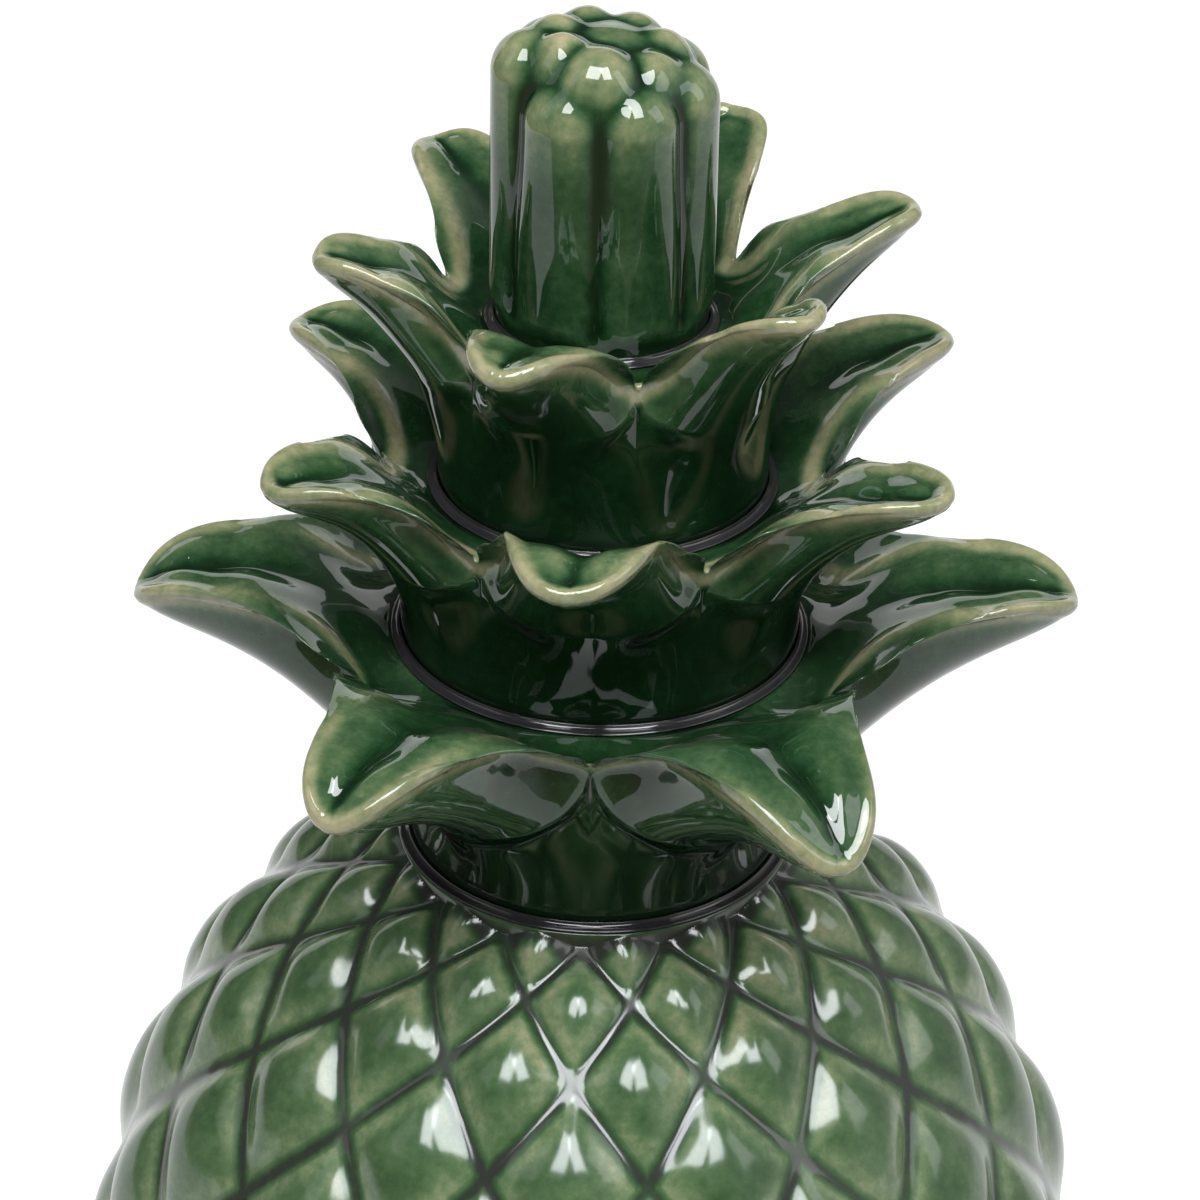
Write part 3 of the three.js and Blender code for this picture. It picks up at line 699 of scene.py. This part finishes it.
BROKEN = (0.29, 0.25, 0.15)   # where the glaze broke over an edge
OLIVE = (0.145, 0.165, 0.080)
LEAF_GREEN = (0.032, 0.074, 0.030)
LEAF_DARK = (0.005, 0.025, 0.007)
LEAF_BLACK = (0.0025, 0.008, 0.003)
NEAR_BLACK = (0.012, 0.012, 0.013)
FRUIT_PALE = (0.120, 0.165, 0.082)
FRUIT_GREEN = (0.050, 0.092, 0.038)
FRUIT_DEEP = (0.022, 0.055, 0.018)
SEAM = (0.019, 0.016, 0.017)
# Colours from the thinnest glaze, at 0, to the thickest, at 1
FRUIT_STOPS = ((0.0, BROKEN), (0.22, FRUIT_PALE), (0.45, FRUIT_GREEN), (0.72, FRUIT_DEEP), (1.0, SEAM))
LEAF_STOPS = ((0.0, BROKEN), (0.18, OLIVE), (0.42, LEAF_GREEN), (0.70, LEAF_DARK), (1.0, LEAF_BLACK))
POOLED_STOPS = ((0.0, SEAM), (1.0, NEAR_BLACK))
GLAZE_IOR = 1.54
CLOUDS = (70.0, 4.0, 0.55)    # scale, detail and roughness of a noise
SPECKS = (420.0, 4.0, 0.65)
RIPPLES = (110.0, 1.0, 0.55)
RUNNING = (1.0, 1.0, 0.3)     # ripples are drawn out downwards, the way the glaze ran
WAVE = 0.0003                 # height of the ripples, in metres


def ramp(nodes, stops):
    """A colour ramp from (place, colour) stops."""
    node = nodes.new("ShaderNodeValToRGB")
    node.color_ramp.interpolation = "B_SPLINE"
    elements = node.color_ramp.elements
    while len(elements) < len(stops):
        elements.new(0.5)
    for element, (place, colour) in zip(elements, stops):
        element.position = place
        element.color = (*colour, 1.0)
    return node


def math_node(nodes, links, operation, first, second, third=None):
    """One step of arithmetic on sockets or plain values."""
    node = nodes.new("ShaderNodeMath")
    node.operation = operation
    for socket, value in zip(node.inputs, (first, second, third)):
        if value is None:
            continue
        if isinstance(value, (int, float)):
            socket.default_value = value
        else:
            links.new(value, socket)
    return node.outputs[0]


def mixed(nodes, links, share, first, second):
    """One surface or background over another, by a share."""
    mix = nodes.new("ShaderNodeMixShader")
    links.new(share, mix.inputs["Fac"])
    links.new(first.outputs[0], mix.inputs[1])
    links.new(second.outputs[0], mix.inputs[2])
    return mix


def noise(nodes, links, coordinates, scale, detail, roughness):
    """A cloudy noise between 0 and 1."""
    node = nodes.new("ShaderNodeTexNoise")
    node.inputs["Scale"].default_value = scale
    node.inputs["Detail"].default_value = detail
    node.inputs["Roughness"].default_value = roughness
    links.new(coordinates, node.inputs["Vector"])
    return node.outputs["Fac"]


def glaze(name, stops, mottle, grain, roughness):
    """Glass-like glaze over a pale body: its colour goes with the thickness kept in the mesh, into which
    painted shade is also put.
    """
    material = bpy.data.materials.new(name)
    material.use_nodes = True
    nodes, links = material.node_tree.nodes, material.node_tree.links
    shader = nodes["Principled BSDF"]
    shader.inputs["Roughness"].default_value = roughness
    shader.inputs["IOR"].default_value = GLAZE_IOR
    coordinates = nodes.new("ShaderNodeTexCoord").outputs["Object"]
    thickness = nodes.new("ShaderNodeAttribute")
    thickness.attribute_name = "glaze_thickness_and_shade"
    clouds = noise(nodes, links, coordinates, *CLOUDS)
    specks = noise(nodes, links, coordinates, *SPECKS)
    value = math_node(nodes, links, "MULTIPLY_ADD", clouds, mottle, thickness.outputs["Fac"])
    value = math_node(nodes, links, "MULTIPLY_ADD", specks, grain, value)
    value = math_node(nodes, links, "SUBTRACT", value, 0.5 * (mottle + grain))
    colour = ramp(nodes, stops)
    links.new(value, colour.inputs["Fac"])
    links.new(colour.outputs["Color"], shader.inputs["Base Color"])
    drawn = nodes.new("ShaderNodeMapping")
    drawn.inputs["Scale"].default_value = RUNNING
    links.new(coordinates, drawn.inputs["Vector"])
    ripples = noise(nodes, links, drawn.outputs["Vector"], *RIPPLES)
    bump = nodes.new("ShaderNodeBump")
    bump.inputs["Strength"].default_value = 1.0
    bump.inputs["Distance"].default_value = WAVE
    links.new(ripples, bump.inputs["Height"])
    links.new(bump.outputs["Normal"], shader.inputs["Normal"])
    return material


fruit_glaze = glaze("fruit_glaze", FRUIT_STOPS, mottle=0.80, grain=0.40, roughness=0.16)
leaf_glaze = glaze("leaf_glaze", LEAF_STOPS, mottle=0.45, grain=0.36, roughness=0.045)
seam_glaze = glaze("pooled_glaze", POOLED_STOPS, mottle=0.4, grain=0.2, roughness=0.08)


# Thickness of the glaze, with painted shade

# Material, slot, middle thickness, how strongly edges thin it, how strongly hollows pool it, and
# over how many millimetres a bend counts
POOLED = (seam_glaze, "pooled_glaze", 0.5, 0.0, 0.0, 1.0)
FINISH = {
    "fruit": (fruit_glaze, "fruit_glaze", 0.58, 1.0, 0.0, 2.2),
    "lower_leaf_tier": (leaf_glaze, "leaf_glaze", 0.78, 1.6, 2.8, 2.6),
    "middle_leaf_tier": (leaf_glaze, "leaf_glaze", 0.74, 1.6, 2.8, 2.6),
    "upper_leaf_tier": (leaf_glaze, "leaf_glaze", 0.72, 1.6, 2.8, 2.6),
    "leaf_bud": (leaf_glaze, "leaf_glaze", 0.64, 2.2, 3.6, 2.2),
}
# Painted shade and light: each piece is darker low down, deep in the cups and under the leaves, and paler
# towards its top. Shares of a piece's height between which it goes from thick to thin, then how much
# thicker it is below them and how much thinner above
HEIGHT_SHADE = {
    "lower_leaf_tier": (0.3, 1.0, 0.16, 0.14), "middle_leaf_tier": (0.3, 1.0, 0.18, 0.14),
    "upper_leaf_tier": (0.3, 1.0, 0.18, 0.14), "leaf_bud": (0.50, 0.9, 0.08, 0.16),
}
GROOVE_POOL = 0.42
GROOVE_THIN = 0.27
GROOVE_REACH = (0.0, 3.0)     # from a groove's line, in millimetres, as the reaches below
FLANK_REACH = (3.0, 9.0)
NECK_POOL = (1.0, 3.5)
SKIN_DEPTH = CELL_RISE + 1    # deeper points of the fruit belong to its inside
FOOT_POOL = 0.5
FOOT_REACH = (2.0, 5.0)
RIM_CREST = 0.12
RIM_FADE = 0.30
RIM_OUTSIDE = (2.8, 5.0)
RIM_INSIDE = (3.0, 5.5)


def groove_glaze(points):
    """Glaze that pooled along the grooves of the fruit and at its neck, and thinned beside the grooves."""
    x, y, z = points.T
    radius, height = np.hypot(x, y), z - WIDEST_HEIGHT
    drop = np.where(height > 0, SHOULDER_RISE, BELLY_DROP)
    count = np.interp(np.arctan2(radius / FRUIT_RADIUS, height / drop), *lattice_angles())
    turn = (np.arctan2(x, -y) - math.radians(CELL_BEARING)) * CELLS_AROUND / (2 * math.pi)
    pitch = 2 * math.pi * radius / CELLS_AROUND / math.hypot(1, 1 / CELL_SLANT)
    gaps = [np.abs(across - np.round(across)) * pitch for across in (turn + count / 2, turn - count / 2)]
    gap = np.minimum(*gaps)
    seam = np.where(height > 0, 1 - smooth(radius - land_radius(LOWER_FOOT), *NECK_POOL), 0)
    bottom = np.maximum(1 - smooth(gap, *GROOVE_REACH), seam)
    beside = (1 - smooth(gap, *FLANK_REACH)) * (1 - bottom)
    depth = (1 - np.hypot(radius / FRUIT_RADIUS, height / drop)) * (FRUIT_RADIUS + drop) / 2
    return (depth < SKIN_DEPTH) * (GROOVE_POOL * bottom - GROOVE_THIN * beside)


def shade_and_foot_pool(name, points):
    """How much the painted shade low down, with the paler top, and the glaze pooled at the foot add at each
    point.
    """
    low, high, shade_below, light_above = HEIGHT_SHADE[name]
    height = points[:, 2] - points[:, 2].min()
    share = height / np.ptp(points[:, 2])
    # Painted shade: thicker, so darker, low on the piece, and thinner, so paler, towards its top
    run = shade_below - (shade_below + light_above) * smooth(share, low, high)
    return run + FOOT_POOL * (1 - smooth(height, *FOOT_REACH))


def glaze_thickness_and_shade(name, points, faces, band):
    """Thickness at each point, from 0 where the body shows to 1 where the glaze pooled, with painted shade
    added low on the tiers and the bud.
    """
    _, _, middle, thin, pool, reach = FINISH.get(name, POOLED)
    bent = bend(points, faces, reach)
    pooled = groove_glaze(points) if name == "fruit" else pool * np.maximum(-bent, 0)
    thickness = middle - thin * np.maximum(bent, 0) + pooled
    # Painted shade low down and a paler top, with glaze pooled at the foot
    if name in HEIGHT_SHADE:
        thickness = thickness + shade_and_foot_pool(name, points)
    if band is not None:
        thickness = np.clip(thickness - RIM_FADE * band[1], 0, 1)
        thickness = thickness + (RIM_CREST - thickness) * band[0]
    return np.clip(thickness, 0, 1)


# Pieces

def glazed_mesh(name, points, faces, thickness):
    """A smooth mesh in metres that keeps the thickness of its glaze, with the painted shade in it."""
    mesh = bpy.data.meshes.new(name + "_glazed")
    mesh.from_pydata((points / 1000).tolist(), [], faces)
    mesh.update()
    mesh.shade_smooth()
    layer = mesh.attributes.new("glaze_thickness_and_shade", "FLOAT", "POINT")
    layer.data.foreach_set("value", thickness.astype(np.float32))
    return mesh


def dress(name, points, faces):
    """Builds one piece from its points in millimetres and hangs it on the frame."""
    material, slot, *_ = FINISH.get(name, POOLED)
    band = None
    if name in TIERS:
        tier = TIERS[name]
        seat = np.array([0.0, 0.0, dict(zip(TIERS, seats()))[name]])
        band = rim_band(points, rim_points(tier, seat), RIM_OUTSIDE, RIM_INSIDE)
        points = beaded(points, faces, band, near_notches(points, tier, seat))
    mesh = glazed_mesh(name, points, faces, glaze_thickness_and_shade(name, points, faces, band))
    mesh.materials.append(material)
    obj = bpy.data.objects.new(name + "_glazed", mesh)
    bpy.context.scene.collection.objects.link(obj)
    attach(obj, "root")
    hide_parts(name)


for name, points, faces in pieces():
    dress(name, points, faces)


# Stage

PAPER = (0.82, 0.82, 0.82, 1)
PAPER_GLOW = 1.15
GLOW_SHARE = 0.8
STAGE_LEVEL = -0.0005         # just under the foot ring
FLOOR_FRONT = -0.62
FLOOR_BACK = 1.4
FLOOR_SIDE = 1.3
BACKDROP_TOP = 0.9


def stage_plane(name, corners, material):
    """A four-sided plane that belongs to the stage."""
    mesh = bpy.data.meshes.new(name)
    mesh.from_pydata(corners, [], [(0, 1, 2, 3)])
    mesh.materials.append(material)
    obj = bpy.data.objects.new(name, mesh)
    bpy.context.scene.collection.objects.link(obj)


def pale_paper():
    """White paper that the camera and the reflections see as plain white, with the object's shadow."""
    material = bpy.data.materials.new("pale_paper")
    material.use_nodes = True
    nodes, links = material.node_tree.nodes, material.node_tree.links
    nodes.remove(nodes["Principled BSDF"])
    paper = nodes.new("ShaderNodeBsdfDiffuse")
    paper.inputs["Color"].default_value = PAPER
    glow = nodes.new("ShaderNodeEmission")
    glow.inputs["Strength"].default_value = PAPER_GLOW
    rays = nodes.new("ShaderNodeLightPath")
    seen = math_node(nodes, links, "MAXIMUM", rays.outputs["Is Camera Ray"], rays.outputs["Is Glossy Ray"])
    seen = math_node(nodes, links, "MAXIMUM", seen, rays.outputs["Is Transmission Ray"])
    share = math_node(nodes, links, "MULTIPLY", seen, GLOW_SHARE)
    both = mixed(nodes, links, share, paper, glow)
    links.new(both.outputs[0], nodes["Material Output"].inputs["Surface"])
    return material


paper = pale_paper()
stage_plane("floor", [
    (-FLOOR_SIDE, FLOOR_FRONT, STAGE_LEVEL), (FLOOR_SIDE, FLOOR_FRONT, STAGE_LEVEL),
    (FLOOR_SIDE, FLOOR_BACK, STAGE_LEVEL), (-FLOOR_SIDE, FLOOR_BACK, STAGE_LEVEL)], paper)
stage_plane("backdrop", [
    (-FLOOR_SIDE, FLOOR_BACK, STAGE_LEVEL), (FLOOR_SIDE, FLOOR_BACK, STAGE_LEVEL),
    (FLOOR_SIDE, FLOOR_BACK, BACKDROP_TOP), (-FLOOR_SIDE, FLOOR_BACK, BACKDROP_TOP)], paper)


# Light

FILL = (0.92, 0.96, 1.0, 1)
FILL_STRENGTH = 0.20
WHITE = (1, 1, 1, 1)
WHITE_STRENGTH = 1.0
# Tones of the room that the glaze mirrors, from straight down to straight up
ROOM_TONES = ((0.0, (0.22, 0.20, 0.12)), (0.42, (0.27, 0.24, 0.14)),
              (0.52, (0.015, 0.015, 0.015)), (1.0, (0.07, 0.07, 0.08)))
WALL = (0.84, 0.84, 0.84, 1)
# Share of the pale side walls in it, from far left to far right
WALL_SHARES = ((0.0, 0.12), (0.14, 0.09), (0.28, 0.0), (0.72, 0.0), (0.86, 0.6), (1.0, 0.7))
LAMP_DISTANCE = 1.6
LAMP_AIM = Vector((0, 0, 0.28))
COOL_WHITE = (0.94, 0.97, 1.0)
NEAR_WHITE = (0.98, 0.99, 1.0)
# Name, azimuth and elevation in degrees, size in metres, power in watts and colour
WINDOWS = (
    ("front_left_window", -23, 60, (0.62, 0.90), 24, COOL_WHITE),
    ("front_right_window", 23, 60, (0.62, 0.90), 24, COOL_WHITE),
    ("left_window", -72, 38, (0.7, 0.9), 1.6, NEAR_WHITE),
    ("right_window", 72, 38, (0.7, 0.9), 4.5, NEAR_WHITE),
)


def mirrored_room(nodes, links):
    """Background of a dim room with pale walls at its sides."""
    room = nodes.new("ShaderNodeBackground")
    direction = nodes.new("ShaderNodeSeparateXYZ")
    links.new(nodes.new("ShaderNodeTexCoord").outputs["Generated"], direction.inputs[0])
    tone = ramp(nodes, ROOM_TONES)
    rise = math_node(nodes, links, "MULTIPLY_ADD", direction.outputs["Z"], 0.5, 0.5)
    links.new(rise, tone.inputs["Fac"])
    wall = ramp(nodes, [(place, (share,) * 3) for place, share in WALL_SHARES])
    side = math_node(nodes, links, "MULTIPLY_ADD", direction.outputs["X"], 0.5, 0.5)
    links.new(side, wall.inputs["Fac"])
    walled = nodes.new("ShaderNodeMixRGB")
    walled.inputs["Color2"].default_value = WALL
    links.new(wall.outputs[0], walled.inputs["Fac"])
    links.new(tone.outputs["Color"], walled.inputs["Color1"])
    links.new(walled.outputs[0], room.inputs["Color"])
    return room


def studio_world():
    """White to the camera; dim room to the reflections; even fill for everything else."""
    world = bpy.data.worlds.new("studio")
    bpy.context.scene.world = world
    world.use_nodes = True
    nodes, links = world.node_tree.nodes, world.node_tree.links
    fill = nodes["Background"]
    fill.inputs["Color"].default_value = FILL
    fill.inputs["Strength"].default_value = FILL_STRENGTH
    white = nodes.new("ShaderNodeBackground")
    white.inputs["Color"].default_value = WHITE
    white.inputs["Strength"].default_value = WHITE_STRENGTH
    rays = nodes.new("ShaderNodeLightPath")
    lit = mixed(nodes, links, rays.outputs["Is Glossy Ray"], fill, mirrored_room(nodes, links))
    seen = mixed(nodes, links, rays.outputs["Is Camera Ray"], lit, white)
    links.new(seen.outputs[0], nodes["World Output"].inputs["Surface"])


def softbox(name, azimuth, elevation, size, power, colour):
    """A rectangular lamp, azimuth from the camera's side towards the right, aimed at the part."""
    lamp = bpy.data.lights.new(name, "AREA")
    lamp.shape = "RECTANGLE"
    lamp.size, lamp.size_y = size
    lamp.energy = power
    lamp.color = colour
    obj = bpy.data.objects.new(name, lamp)
    bpy.context.scene.collection.objects.link(obj)
    a, e = math.radians(azimuth), math.radians(elevation)
    towards = Vector((math.sin(a) * math.cos(e), -math.cos(a) * math.cos(e), math.sin(e)))
    obj.location = LAMP_AIM + LAMP_DISTANCE * towards
    obj.rotation_euler = (-towards).to_track_quat("-Z", "Y").to_euler()


studio_world()
for window in WINDOWS:
    softbox(*window)


# Camera

CAMERA_TARGET = Vector((0, 0, 0.3216))
CAMERA_DISTANCE = 0.88
CAMERA_ELEVATION = math.radians(30.85)
CAMERA_ROLL = math.radians(1.3)
CAMERA_NEAREST = 0.01
SENSOR_WIDTH = 36.0           # in millimetres
PHOTO_FOCAL = 3858.0          # in pixels of the photograph
PHOTO_WIDTH = 1200.0


def front_camera():
    """The photograph's view: from the front, above and slightly rolled."""
    camera = bpy.data.cameras.new("camera")
    camera.sensor_width = SENSOR_WIDTH
    camera.lens = PHOTO_FOCAL / PHOTO_WIDTH * SENSOR_WIDTH
    camera.clip_start = CAMERA_NEAREST
    viewpoint = bpy.data.objects.new("camera", camera)
    bpy.context.scene.collection.objects.link(viewpoint)
    towards = Vector((0, -math.cos(CAMERA_ELEVATION), math.sin(CAMERA_ELEVATION)))
    place = Matrix.Translation(CAMERA_TARGET + CAMERA_DISTANCE * towards)
    facing = (-towards).to_track_quat("-Z", "Y").to_matrix().to_4x4()
    viewpoint.matrix_world = place @ facing @ Matrix.Rotation(CAMERA_ROLL, 4, "Z")
    return viewpoint


bpy.context.scene.camera = front_camera()
bpy.context.scene.view_settings.view_transform = "Standard"
